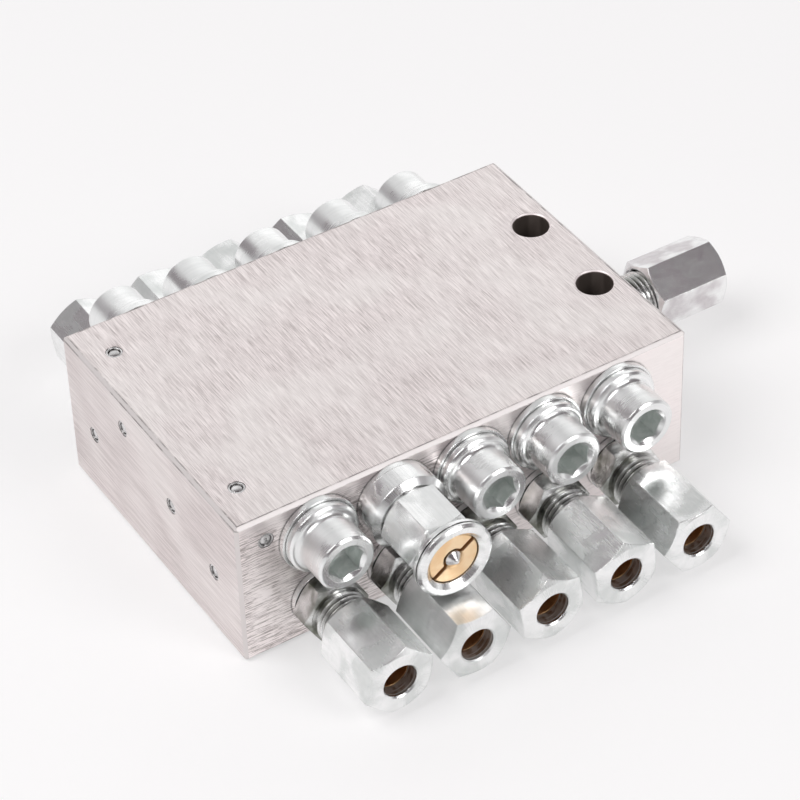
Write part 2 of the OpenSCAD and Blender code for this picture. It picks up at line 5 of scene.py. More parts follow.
import bpy
from bpy.props import FloatProperty, FloatVectorProperty, IntProperty, PointerProperty
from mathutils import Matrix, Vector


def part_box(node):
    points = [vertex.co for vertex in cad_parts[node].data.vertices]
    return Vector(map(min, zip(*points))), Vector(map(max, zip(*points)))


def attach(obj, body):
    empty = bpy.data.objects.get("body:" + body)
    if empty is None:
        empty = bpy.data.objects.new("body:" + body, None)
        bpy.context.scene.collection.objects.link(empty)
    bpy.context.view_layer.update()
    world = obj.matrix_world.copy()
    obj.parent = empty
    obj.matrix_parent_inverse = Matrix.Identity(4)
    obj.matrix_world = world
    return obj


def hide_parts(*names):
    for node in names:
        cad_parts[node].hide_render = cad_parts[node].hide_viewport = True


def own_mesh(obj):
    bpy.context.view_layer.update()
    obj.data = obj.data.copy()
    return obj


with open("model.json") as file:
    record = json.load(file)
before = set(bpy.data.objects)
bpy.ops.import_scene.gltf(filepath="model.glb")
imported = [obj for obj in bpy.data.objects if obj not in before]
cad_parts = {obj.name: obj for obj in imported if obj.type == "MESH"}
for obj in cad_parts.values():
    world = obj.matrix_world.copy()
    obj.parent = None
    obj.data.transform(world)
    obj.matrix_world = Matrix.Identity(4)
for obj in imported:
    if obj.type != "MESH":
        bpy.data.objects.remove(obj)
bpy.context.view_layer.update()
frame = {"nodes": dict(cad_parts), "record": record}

bl_info = {
    "name": "Lubricant Divider Block",
    "version": (1, 0, 0),
    "blender": (4, 5, 0),
    "location": "3D View > Sidebar > Divider",
    "description": "Metal finishes, threads, springs and a stage for a lubricant divider block",
    "category": "Object",
}

MM = 0.001
PER_MM = 1000.0
NUMBERS = (1, 2, 3, 4, 5)
SIDES = ("near", "far")


def middle(node):
    """Middle of a CAD node's box, in millimetres."""
    low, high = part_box(node)
    return (low + high) / 2 * PER_MM


def highest(node):
    """Highest corner of a CAD node's box, in millimetres."""
    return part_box(node)[1] * PER_MM


BLOCK_LOW, BLOCK_HIGH = (corner * PER_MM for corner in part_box("block"))
FIRST_X = middle("near_nut_1").x
PITCH = middle("near_nut_2").x - FIRST_X
OUTLET_Z = middle("near_nut_1").z
PISTON_Z = middle("plug_washers").z
FACE_Y = BLOCK_HIGH.y
INLET_X = BLOCK_HIGH.x
INLET_Z = middle("inlet_nut").z
PLUG_END = highest("far_plugs").y - FACE_Y
OUTLET_END = highest("far_nut_1").y - FACE_Y
INLET_END = highest("inlet_nut").x - INLET_X
HOLES = frame["record"]["mounts"][0]
HOLE_Y = HOLES["dims"]["spacing_y_mm"] / 2
HOLE_R = HOLES["dims"]["hole_r_mm"]
MOUTH_R = next(m for m in frame["record"]["mounts"] if m["kind"] == "bore")["dims"]["r_mm"]

# Finish of the block, in millimetres: where burrs show on the chamfer below its top,
# the bright lip round a mounting hole from its outer to its full edge,
# and how far from the inlet end the side's lines are strong and faint.
BURR_LOW, BURR_HIGH = (0.8, 0.7), (0.4, 0.52)
LIP_OUTER, LIP_FULL = 1.0, 0.8
LINES_STRONG, LINES_FAINT = 75.0, 8.0

# Painted shade inside, in millimetres: radius of a plug's socket and depth of its rim left
# unshaded, depth of a nut's rim left unshaded, and how far past a mouth's radius the painted shade
# with old lubricant reaches in nuts and stubs.
SOCKET_R, SOCKET_RIM = 3.5, 0.72
NUT_RIM, NUT_OIL_AND_SHADE, STUB_OIL_AND_SHADE = 0.7, 0.12, 0.3

# Stage, in metres and degrees. The floor lies just under the block.
FLOOR_SIZE, FLOOR_DROP = 8.0, 0.0002
KEY_SIZE, KEY_PLACE = 0.7, (0.42, -1.00, 0.88)
TOP_SIZE, TOP_PLACE = 0.9, (-0.74, 0.07, 1.12)
CAMERA_PLACE, CAMERA_TURN = (-0.26228, -0.38008, 0.39217), (49.380, 1.666, -32.334)

# A thread's root as a share of its pitch and its crest as a share of its root,
# the steps in one turn of a thread and of a spring, the sides of the wire,
# and the angle past which an edge stays sharp.
ROOT_SHARE, CREST_SHARE = 0.84, 0.2
THREAD_STEPS, SPRING_STEPS, WIRE_SIDES = 64, 32, 16
SHARP = math.radians(25)


def colour(name, about, value):
    """Colour setting for the sidebar."""
    return FloatVectorProperty(
        name=name, description=about, default=value, size=3, min=0, max=1, subtype="COLOR"
    )


def length(name, about, millimetres):
    """Length setting for the sidebar, kept in metres."""
    return FloatProperty(
        name=name, description=about, default=millimetres * MM, min=0, unit="LENGTH", precision=5
    )


def share(name, about, value):
    """Setting between nothing and all."""
    return FloatProperty(
        name=name, description=about, default=value, min=0, max=1, subtype="FACTOR"
    )


class StageSettings(bpy.types.PropertyGroup):
    """Floor, lamps, sky and camera."""

    floor_colour: colour("Floor", "Colour of the floor", (0.96, 0.945, 0.95))
    floor_glow: share("Floor glow", "Share of white in the floor as camera and metal see it", 0.5)
    key_power: FloatProperty(
        name="Key lamp", description="Power of the lamp in front", default=6.0, min=0, unit="POWER"
    )
    top_power: FloatProperty(
        name="Top lamp", description="Power of the lamp overhead", default=9.6, min=0, unit="POWER"
    )
    sky_dark: share("Dark sky", "Brightness of the sky away from the panel and the floor", 0.18)
    sky_panel: FloatProperty(
        name="Sky panel", description="Brightness of the panel behind", default=1.08, min=0
    )
    camera_lens: FloatProperty(
        name="Lens", description="Focal length of the camera", default=148.39, min=1, unit="CAMERA"
    )


class FinishSettings(bpy.types.PropertyGroup):
    """Colours and marks of the metals and the seal."""

    ground_light: colour("Ground steel", "Bright lines of the ground block", (0.98, 0.90, 0.895))
    ground_dark: colour("Ground steel lines", "Dark lines of the ground block", (0.40, 0.35, 0.34))
    ground_edge: colour("Ground steel edges", "Chamfered edges of the block", (0.74, 0.70, 0.69))
    ground_pale: colour("Ground steel film", "Pale patches on the block", (0.95, 0.93, 0.905))
    ground_mark: colour("Ground steel burrs", "Burrs on the block's edges", (0.20, 0.18, 0.175))
    # Painted shade inside the mounting holes.
    hole: colour("Hole", "Film inside the mounting holes", (0.11, 0.085, 0.07))
    zinc: colour("Zinc", "Clean zinc plate", (0.97, 0.97, 0.97))
    zinc_film: colour("Zinc film", "Smoky film on the zinc plate", (0.45, 0.49, 0.47))
    zinc_bloom: colour("Zinc bloom", "Pale dull patches on the zinc plate", (0.78, 0.80, 0.78))
    stub_film: colour("Stub film", "Olive film on the fittings' own hexagons", (0.16, 0.16, 0.13))
    inlet_film: colour("Inlet film", "Smoky film on the inlet's nut", (0.40, 0.33, 0.36))
    # Painted shade inside the bores of nuts and stubs, along with old lubricant.
    oil: colour("Oil", "Old oil inside the bores", (0.30, 0.21, 0.15))
    # Painted shade and grime in the seams; the same colour marks the block's real specks.
    dirt: colour("Dirt", "Dirt in the seams", (0.05, 0.045, 0.04))
    # Painted shade inside the plugs' hexagon sockets.
    socket: colour("Socket", "Film inside the hexagon sockets", (0.68, 0.72, 0.695))
    brass: colour("Brass", "Turned brass", (1.0, 0.77, 0.51))
    bronze: colour("Bronze", "Cutting rings", (0.95, 0.60, 0.32))
    bright: colour("Bright steel", "Pins, pistons and pressed plugs", (0.80, 0.79, 0.79))
    wire: colour("Spring wire", "Drawn spring wire", (0.42, 0.43, 0.45))
    rubber: colour("Seal rubber", "Seal round the indicator pin", (0.025, 0.025, 0.028))
    ground_spacing: length("Grinding spacing", "Spacing of the lines on the block's top", 0.2)
    ground_length: length("Grinding length", "Length of the lines on the block's top", 6.0)
    edge_round: length("Edge rounding", "Rounding of the metal edges", 0.24)
    # How far the painted shade of the seams reaches.
    seam_reach: length("Seam reach", "How far dirt reaches out of a seam", 0.55)


class ThreadSettings(bpy.types.PropertyGroup):
    """Thread on the fittings' necks."""

    pitch: length("Thread pitch", "Distance from one thread to the next", 1.0)
    turns: IntProperty(name="Thread turns", description="Turns of the thread", default=4, min=1)
    crest: length("Crest radius", "Radius of the thread's crest", 5.0)
    root: length("Root radius", "Radius of the thread inside the neck's core", 4.3)
    start: length("Outlet start", "From the block to the thread of an outlet", 6.75)
    inlet_start: length("Inlet start", "From the block to the thread of the inlet", 8.75)


class SpringSettings(bpy.types.PropertyGroup):
    """Springs of the check valves."""

    wire: length("Spring wire", "Diameter of the wire", 0.4)
    coil: length("Coil radius", "Radius of the coil at the middle of the wire", 1.55)
    turns: IntProperty(name="Spring turns", description="Turns of the coil", default=4, min=1)


class Graph:
    """Adds nodes to one shader tree and links them."""

    def __init__(self, tree):
        self.tree = tree
        tree.nodes.clear()

    def node(self, kind, inputs=(), **settings):
        made = self.tree.nodes.new("ShaderNode" + kind)
        for name, value in settings.items():
            setattr(made, name, value)
        self.fill(made, inputs)
        return made

    def fill(self, made, inputs):
        for key, value in dict(inputs).items():
            socket = made.inputs[key]
            if isinstance(value, bpy.types.NodeSocket):
                self.tree.links.new(value, socket)
            elif socket.type == "RGBA":
                socket.default_value = (*value, 1.0)
            else:
                socket.default_value = value

    def math(self, operation, *values):
        return self.node("Math", enumerate(values), operation=operation).outputs[0]

    def add(self, first, second):
        return self.math("ADD", first, second)

    def times(self, first, second):
        return self.math("MULTIPLY", first, second)

    def weigh(self, first, weight, second, other_weight):
        """Sum of two values, each times its weight."""
        return self.add(self.times(first, weight), self.times(second, other_weight))

    def ramp(self, value, low, high, to_low=0.0, to_high=1.0):
        """Value brought smoothly from the range low to high into the range to_low to to_high."""
        made = self.node(
            "MapRange",
            {
                "Value": value,
                "From Min": low,
                "From Max": high,
                "To Min": to_low,
                "To Max": to_high,
            },
            interpolation_type="SMOOTHSTEP",
        )
        return made.outputs["Result"]

    def mix(self, factor, first, second):
        """First colour at factor 0, second colour at factor 1."""
        made = self.node("Mix", {0: factor, 6: first, 7: second}, data_type="RGBA")
        return made.outputs[2]

    def noise(self, vector, scale=1.0, detail=2.0, roughness=0.5, distortion=0.0):
        made = self.node(
            "TexNoise",
            {
                "Vector": vector,
                "Scale": scale,
                "Detail": detail,
                "Roughness": roughness,
                "Distortion": distortion,
            },
        )
        return made.outputs["Fac"]

    def join(self, x, y, z):
        return self.node("CombineXYZ", enumerate((x, y, z))).outputs[0]

    def split(self, vector):
        return self.node("SeparateXYZ", {0: vector}).outputs

    def group(self, name, inputs):
        made = self.node("Group", node_tree=bpy.data.node_groups[name])
        self.fill(made, inputs)
        return made.outputs

    def lines(self, across, along, spacing, run, seed=0.0):
        """Machining lines with their spacing and length, run, in millimetres."""
        sizes = {"Across": across, "Along": along, "Spacing": spacing, "Length": run, "Seed": seed}
        return self.group("Machining lines", sizes)["Lines"]

    def cloud(self, where, size, sharpness):
        """Patches of film of a size in millimetres."""
        sizes = {"Vector": where, "Size": size, "Sharpness": sharpness}
        return self.group("Cloudy film", sizes)["Film"]

    def dirt(self, where, reach):
        """Painted shade and grime in the seams, reaching out of them by a length in metres."""
        return self.group("Seam dirt", {"Vector": where, "Reach": reach})["Dirt"]

    def millimetres(self):
        """The piece's own coordinates in millimetres."""
        place = self.node("TexCoord").outputs["Object"]
        return self.node("VectorMath", {0: place, "Scale": PER_MM}, operation="SCALE").outputs[0]


def new_group(name, takes, gives):
    """Empty shader group as a graph with its two ends; takes holds its inputs and defaults."""
    tree = bpy.data.node_groups.new(name, "ShaderNodeTree")
    for socket, default in takes:
        kind = "NodeSocketVector" if default is None else "NodeSocketFloat"
        item = tree.interface.new_socket(socket, in_out="INPUT", socket_type=kind)
        if default is not None:
            item.default_value = default
    for socket in gives:
        tree.interface.new_socket(socket, in_out="OUTPUT", socket_type="NodeSocketFloat")
    graph = Graph(tree)
    given = tree.nodes.new("NodeGroupInput").outputs
    result = tree.nodes.new("NodeGroupOutput")
    return graph, given, result


def machining_lines_group():
    """Lines left by a grinding wheel, a lathe tool or a drawing die."""
    g, given, result = new_group(
        "Machining lines",
        [("Across", 0.0), ("Along", 0.0), ("Spacing", 0.3), ("Length", 5.0), ("Seed", 0.0)],
        ["Lines"],
    )
    across = g.math("DIVIDE", given["Across"], given["Spacing"])
    along = g.math("DIVIDE", given["Along"], given["Length"])
    fine = g.noise(g.join(across, along, given["Seed"]), detail=3.0, roughness=0.7)
    g.fill(result, {"Lines": g.ramp(fine, 0.28, 0.72)})


def cloudy_film_group():
    """Soft uneven patches of film, oil or plating."""
    takes = [("Vector", None), ("Size", 8.0), ("Sharpness", 0.2)]
    g, given, result = new_group("Cloudy film", takes, ["Film"])
    scale = g.math("DIVIDE", 1.0, given["Size"])
    patches = g.noise(given["Vector"], scale, detail=2.0, roughness=0.45, distortion=0.3)
    low = g.add(0.28, given["Sharpness"])
    high = g.math("SUBTRACT", 0.72, given["Sharpness"])
    g.fill(result, {"Film": g.ramp(patches, low, high)})


def stray_scratches_group():
    """A few thin wandering scratches from handling."""
    takes = [("Vector", None), ("Spacing", 6.0)]
    g, given, result = new_group("Stray scratches", takes, ["Scratches"])
    turned = g.node(
        "Mapping",
        {"Vector": given["Vector"], "Rotation": (0.4, 0.7, 0.6), "Scale": (1.0, 0.16, 1.0)},
    )
    scale = g.math("DIVIDE", 1.0, given["Spacing"])
    level = g.noise(turned.outputs[0], scale, detail=1.0)
    offset = g.math("ABSOLUTE", g.math("SUBTRACT", level, 0.5))
    line = g.ramp(offset, 0.004, 0.0)
    here = g.ramp(g.noise(given["Vector"], g.times(scale, 1.7)), 0.5, 0.62)
    g.fill(result, {"Scratches": g.times(line, here)})


def specks_group():
    """Small scattered pits and grains."""
    takes = [("Vector", None), ("Spacing", 4.0), ("Share", 0.4)]
    g, given, result = new_group("Specks", takes, ["Specks"])
    scale = g.math("DIVIDE", 1.0, given["Spacing"])
    cells = g.node("TexVoronoi", {"Vector": given["Vector"], "Scale": scale})
    chosen = g.math("LESS_THAN", g.split(cells.outputs["Color"])[0], given["Share"])
    dot = g.ramp(cells.outputs["Distance"], 0.07, 0.03)
    g.fill(result, {"Specks": g.times(dot, chosen)})


def seam_dirt_group():
    """Painted shade from ambient occlusion in seams, grooves and corners, standing also for grime
    there.
    """
    g, given, result = new_group("Seam dirt", [("Vector", None), ("Reach", 0.0005)], ["Dirt"])
    # Ambient occlusion makes this a painted shade, which stands also for grime.
    open_share = g.node("AmbientOcclusion", {"Distance": given["Reach"]}, samples=6).outputs["AO"]
    patchy = g.ramp(g.noise(given["Vector"], 1.3, detail=3.0), 0.3, 0.7, 0.7, 1.0)
    g.fill(result, {"Dirt": g.times(g.ramp(open_share, 0.8, 0.35), patchy)})


def row_axes_group():
    """Distance from the nearest axis of a row, turn about it and height above the face."""
    g, given, result = new_group(
        "Row axes",
        [("Vector", None), ("First", 0.0), ("Pitch", 15.0), ("Level", 0.0), ("Face", 30.0)],
        ["Radius", "Turn", "Height"],
    )
    x, y, z = g.split(given["Vector"])
    half = g.math("DIVIDE", given["Pitch"], 2.0)
    from_axis = g.math("WRAP", g.math("SUBTRACT", x, given["First"]), half, g.times(half, -1.0))
    above = g.math("SUBTRACT", z, given["Level"])
    square = g.add(g.times(from_axis, from_axis), g.times(above, above))
    g.fill(
        result,
        {
            "Radius": g.math("SQRT", square),
            "Turn": g.math("ARCTAN2", above, from_axis),
            "Height": g.math("SUBTRACT", g.math("ABSOLUTE", y), given["Face"]),
        },
    )


def shared_groups():
    """Builds the shared shader groups once."""
    machining_lines_group()
    cloudy_film_group()
    stray_scratches_group()
    specks_group()
    seam_dirt_group()
    row_axes_group()


def new_material(name):
    """Material with an empty graph."""
    made = bpy.data.materials.new(name)
    made.use_nodes = True
    return made, Graph(made.node_tree)


def close_material(g, settings, base, rough, height, depth, metallic=1.0):
    """Adds the shader, with rounded edges and a relief of the given depth in millimetres."""
    edge = g.node("Bevel", {"Radius": settings.edge_round}, samples=4)
    relief = g.node(
        "Bump",
        {"Strength": 1.0, "Distance": depth * MM, "Height": height, "Normal": edge.outputs[0]},
    )
    shader = g.node(
        "BsdfPrincipled",
        {"Base Color": base, "Roughness": rough, "Metallic": metallic, "Normal": relief.outputs[0]},
    )
    g.node("OutputMaterial", {"Surface": shader.outputs[0]})


def row_place(g, where, first, pitch, level, face):
    """Radius, turn and height about the axes of a row."""
    row = {"Vector": where, "First": first, "Pitch": pitch, "Level": level, "Face": face}
    return g.group("Row axes", row)


def plug_place(g):
    """Radius, turn and height on a plug or the indicator."""
    return row_place(g, g.millimetres(), FIRST_X, PITCH, PISTON_Z, FACE_Y)


def outlet_place(g):
    """Radius, turn and height on an outlet fitting."""
    return row_place(g, g.millimetres(), FIRST_X, PITCH, OUTLET_Z, FACE_Y)


def inlet_place(g):
    """Radius, turn and height on the inlet fitting, whose axis runs along X."""
    turned = g.node("Mapping", {"Vector": g.millimetres(), "Rotation": (0, 0, math.radians(90))})
    return row_place(g, turned.outputs[0], 0.0, 4 * PITCH, INLET_Z, INLET_X)


def zinc_material(name, settings, place, marks, film, film_colour, rough, inside=None, ring_highlight=0.0):
    """Zinc plated steel with marks, film, pale bloom, painted shade and grime in its seams, and
    painted shade inside.

    The inside is a bore's radius, the height it ends at and its colour: painted shade, with old
    lubricant in the nuts and stubs.
    The last argument is how bright the rings in it are; these rings are painted highlights.
    """
    made, g = new_material(name)
    radius, turn, height = place(g)
    where = g.millimetres()
    if marks == "turned":
        lines = g.lines(g.add(radius, height), g.times(turn, 5.0), 0.2, 12.0)
    else:
        lines = g.lines(g.times(turn, 6.0), height, 0.25, 8.0)
    cloud = g.cloud(where, 6.0, 0.1)
    fine_cloud = g.cloud(where, 1.3, 0.06)
    scratches = g.group("Stray scratches", {"Vector": where, "Spacing": 5.0})["Scratches"]
    specks = g.group("Specks", {"Vector": where, "Spacing": 1.8, "Share": 0.35})["Specks"]
    # Painted shade and grime in the seams.
    dirt = g.dirt(where, settings.seam_reach)

    smoke = g.weigh(cloud, 0.82, fine_cloud, 0.18)
    base = g.mix(g.times(smoke, film), settings.zinc, film_colour)
    base = g.mix(g.times(lines, 0.16), base, settings.zinc_film)
    base = g.mix(g.times(scratches, 0.5), base, settings.zinc)
    base = g.mix(g.times(specks, 0.5), base, settings.zinc_film)
    aside = g.node("VectorMath", {0: where, 1: (31.0, 17.0, 7.0)}).outputs[0]
    pale = g.times(g.cloud(aside, 5.5, 0.0), 0.02)
    base = g.mix(g.times(pale, 2.0), base, settings.zinc_bloom)
    metal = g.math("SUBTRACT", 1.0, pale)
    gloss = g.ramp(g.weigh(cloud, 0.6, lines, 0.4), 0.0, 1.0, *rough)
    if inside:
        # Inside a bore the colour is painted shade, lifted by rings of painted highlight and by
        # wiped patches.
        bore_r, below, bore_colour = inside
        within = g.ramp(radius, bore_r + 0.05, bore_r - 0.05)
        within = g.times(within, g.math("LESS_THAN", height, below))
        rings = g.ramp(g.lines(height, turn, 0.9, 9.0, seed=5.0), 0.42, 0.7, 0.0, ring_highlight)
        wiped_and_ring_highlight = g.math("MAXIMUM", g.ramp(fine_cloud, 0.0, 1.0, 0.0, 0.35), rings)
        base = g.mix(within, base, g.mix(wiped_and_ring_highlight, bore_colour, settings.zinc))
        gloss = g.add(gloss, g.times(within, 0.12))
        metal = g.times(metal, g.ramp(within, 0.0, 1.0, 1.0, 0.75))
        dirt = g.times(dirt, g.math("SUBTRACT", 1.0, within))
    base = g.mix(g.times(dirt, 0.95), base, settings.dirt)
    relief = g.math("SUBTRACT", g.weigh(lines, 0.6, fine_cloud, 0.5), specks)
    close_material(g, settings, base, gloss, relief, 0.006, metal)
    return made


def ground_material(settings):
    """Ground block: lines on each face in its own direction, paler edges, burrs and holes darkened
    by painted shade.
    """
    made, g = new_material("Ground steel")
    where = g.millimetres()
    x, y, z = g.split(where)
    facing = g.split(g.node("TexCoord").outputs["Normal"])
    on_end, on_side, on_top = (g.ramp(g.math("ABSOLUTE", part), 0.85, 0.95) for part in facing)
    flat = g.math("MINIMUM", g.add(g.add(on_top, on_side), on_end), 1.0)

    top = g.lines(x, y, settings.ground_spacing * PER_MM, settings.ground_length * PER_MM)
    broad = g.lines(x, y, 1.2, 22.0, seed=3.0)
    dashes = g.noise(g.join(g.math("DIVIDE", x, 0.18), g.math("DIVIDE", y, 4.0), 5.0), detail=1.0)
    side = g.lines(z, x, 0.27, 5.5, seed=7.0)
    end = g.lines(z, y, 0.4, 12.0, seed=11.0)
    cloud = g.cloud(where, 16.0, 0.02)
    specks = g.group("Specks", {"Vector": where, "Spacing": 9.0, "Share": 0.12})["Specks"]

    top = g.add(g.math("MULTIPLY_ADD", top, 0.66, -0.1), g.times(broad, 0.08))
    top = g.add(top, g.times(g.ramp(dashes, 0.55, 0.68), 0.22))
    below = g.math("SUBTRACT", float(BLOCK_HIGH.z), z)
    gashes = g.noise(g.join(g.math("DIVIDE", x, 2.4), 2.0, g.math("DIVIDE", z, 0.24)), detail=1.0)
    side = g.add(g.ramp(side, 0.45, 0.74, 0.0, 0.9), g.ramp(gashes, 0.56, 0.68, 0.0, 0.8))
    side = g.times(side, g.ramp(x, INLET_X - LINES_STRONG, INLET_X - LINES_FAINT, 1.0, 0.1))
    side = g.times(side, g.ramp(below, 0.6, 3.5, 0.1, 1.0))
    end = g.ramp(end, 0.0, 1.0, 0.3, 0.62)
    lines = g.times(top, on_top)
    lines = g.add(lines, g.times(side, on_side))
    lines = g.add(lines, g.times(end, on_end))
    dark = g.times(lines, g.ramp(cloud, 0.0, 1.0, 1.0, 0.6))
    light = g.mix(g.times(cloud, 0.4), settings.ground_light, settings.ground_pale)
    base = g.mix(dark, light, settings.ground_dark)
    broken = g.ramp(g.noise(where, 0.3, detail=4.0), 0.4, 0.6, 0.2, 1.0)
    on_rim = g.times(g.ramp(g.math("ABSOLUTE", facing[0]), 0.3, 0.5), g.ramp(below, *BURR_LOW))
    rim = g.times(g.times(on_rim, g.ramp(below, *BURR_HIGH)), broken)
    edge = g.mix(g.times(rim, 0.8), settings.ground_edge, settings.ground_mark)
    beside = g.math("SUBTRACT", g.math("ABSOLUTE", y), HOLE_Y)
    from_hole = g.math("SQRT", g.add(g.times(x, x), g.times(beside, beside)))
    lip = g.ramp(from_hole, HOLE_R + LIP_OUTER, HOLE_R + LIP_FULL)
    edge = g.mix(lip, edge, settings.ground_light)
    base = g.mix(flat, edge, base)

    to_side = g.math("SUBTRACT", FACE_Y, g.math("ABSOLUTE", y))
    to_inlet = g.math("SUBTRACT", INLET_X, x)
    to_closed = g.math("SUBTRACT", x, float(BLOCK_LOW.x))
    to_end = g.math("MINIMUM", to_inlet, to_closed)
    to_edge = g.math("MINIMUM", to_side, to_end)
    burr = g.times(g.times(g.ramp(to_edge, 0.92, 0.78), on_top), broken)
    base = g.mix(g.times(burr, 0.7), base, settings.ground_mark)
    # Painted shade and grime in the seams, together with the real specks.
    dirt = g.dirt(where, settings.seam_reach)
    base = g.mix(g.math("MAXIMUM", g.times(specks, 0.8), dirt), base, settings.dirt)

    # Painted shade inside the mounting holes.
    inside = g.ramp(from_hole, HOLE_R + 0.1, HOLE_R)
    base = g.mix(g.times(inside, 0.95), base, settings.hole)

    rough = g.add(g.ramp(lines, 0.0, 1.0, 0.34, 0.5), g.ramp(flat, 0.0, 1.0, 0.14, 0.0))
    metal = g.times(g.ramp(inside, 0.0, 1.0, 1.0, 0.5), g.ramp(flat, 0.0, 1.0, 0.45, 1.0))
    close_material(g, settings, base, rough, lines, 0.01, metal)
    return made


def plain_metal(name, settings, base_colour, dull_colour, low_rough, high_rough, size, grime_and_shade_share=0.9):
    """Metal with fine lines round its axis along Y, a thin uneven film and seams darkened by
    painted shade and grime.
    """
    made, g = new_material(name)
    where = g.millimetres()
    x, y, z = g.split(where)
    lines = g.lines(y, g.add(x, z), 0.14, 6.0)
    worn = g.weigh(lines, 0.35, g.cloud(where, size, 0.05), 0.55)
    base = g.mix(worn, base_colour, dull_colour)
    # Painted shade and grime in the seams.
    dirt = g.dirt(where, settings.seam_reach)
    base = g.mix(g.times(dirt, grime_and_shade_share), base, settings.dirt)
    rough = g.ramp(worn, 0.0, 0.9, low_rough, high_rough)
    close_material(g, settings, base, rough, lines, 0.005)
    return made


def gland_material(settings):
    """Turned brass: rings about the pin, a warm film and a slot darkened by painted shade."""
    made, g = new_material("Gland brass")
    radius, turn, height = plug_place(g)
    lines = g.lines(g.add(radius, height), g.times(turn, 3.0), 0.13, 8.0)
    cloud = g.cloud(g.millimetres(), 2.6, 0.05)
    top = -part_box("indicator_gland")[0].y * PER_MM - FACE_Y
    sunk = g.ramp(height, top - 0.05, top - 0.6)
    # Painted shade in the slot, below its top.
    slot_shade = [part * keep for part, keep in zip(settings.brass, (0.42, 0.30, 0.18))]
    warm = [part * keep for part, keep in zip(settings.brass, (0.94, 0.86, 0.76))]
    base = g.mix(g.times(cloud, 0.8), settings.brass, warm)
    base = g.mix(g.times(lines, 0.25), base, warm)
    base = g.mix(g.times(sunk, 0.8), base, slot_shade)
    rough = g.ramp(g.weigh(lines, 0.5, cloud, 0.5), 0.0, 1.0, 0.4, 0.55)
    close_material(g, settings, base, rough, lines, 0.006)
    return made


def rubber_material(settings):
    """Matt black rubber with a fine grain."""
    made, g = new_material("Seal rubber")
    grain = g.noise(g.millimetres(), 9.0, detail=3.0)
    pale = [part * 2.2 for part in settings.rubber]
    base = g.mix(grain, settings.rubber, pale)
    close_material(g, settings, base, g.ramp(grain, 0.0, 1.0, 0.6, 0.8), grain, 0.01, metallic=0.0)
    return made


def dress(material, *names):
    """Gives CAD nodes a finish."""
    for name in names:
        mesh = frame["nodes"][name].data
        mesh.materials.clear()
        mesh.materials.append(material)


def each(pattern):
    """Node names of a fitting's piece on both sides."""
    return [pattern.format(side, number) for side in SIDES for number in NUMBERS]


def deselect():
    """Leaves edit mode and clears the selection."""
    if bpy.context.object and bpy.context.object.mode != "OBJECT":
        bpy.ops.object.mode_set(mode="OBJECT")
    bpy.ops.object.select_all(action="DESELECT")


def coil_up(made, rise, turns, steps):
    """Winds an outline into a right-hand coil about Y, running towards -Y, with closed ends."""
    screw = made.modifiers.new("turns", "SCREW")
    screw.axis = "Y"
    screw.angle = -2 * math.pi
    screw.screw_offset = -rise
    screw.iterations = turns
    screw.steps = screw.render_steps = steps
    screw.use_normal_calculate = True
    bpy.ops.object.modifier_apply(modifier=screw.name)
    bpy.ops.object.mode_set(mode="EDIT")
    bpy.ops.mesh.select_mode(type="EDGE")
    bpy.ops.mesh.select_all(action="DESELECT")
    bpy.ops.mesh.select_non_manifold()
    bpy.ops.mesh.fill_holes(sides=0)
    bpy.ops.mesh.select_all(action="SELECT")
    bpy.ops.mesh.normals_make_consistent(inside=False)
    bpy.ops.object.mode_set(mode="OBJECT")
    bpy.ops.object.shade_smooth_by_angle(angle=SHARP)


def copy_to(first, name, turn, place):
    """Copies a piece of the housing to a place in millimetres, kept in the copy's own mesh."""
    deselect()
    first.select_set(True)
    bpy.context.view_layer.objects.active = first
    bpy.ops.object.duplicate(linked=False)
    copy = bpy.context.object
    copy.name = copy.data.name = name
    copy.rotation_euler = (0, 0, turn)
    copy.location = [part * MM for part in place]
    bpy.ops.object.transform_apply(location=True, rotation=True, scale=True)
    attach(copy, "housing")
    return copy


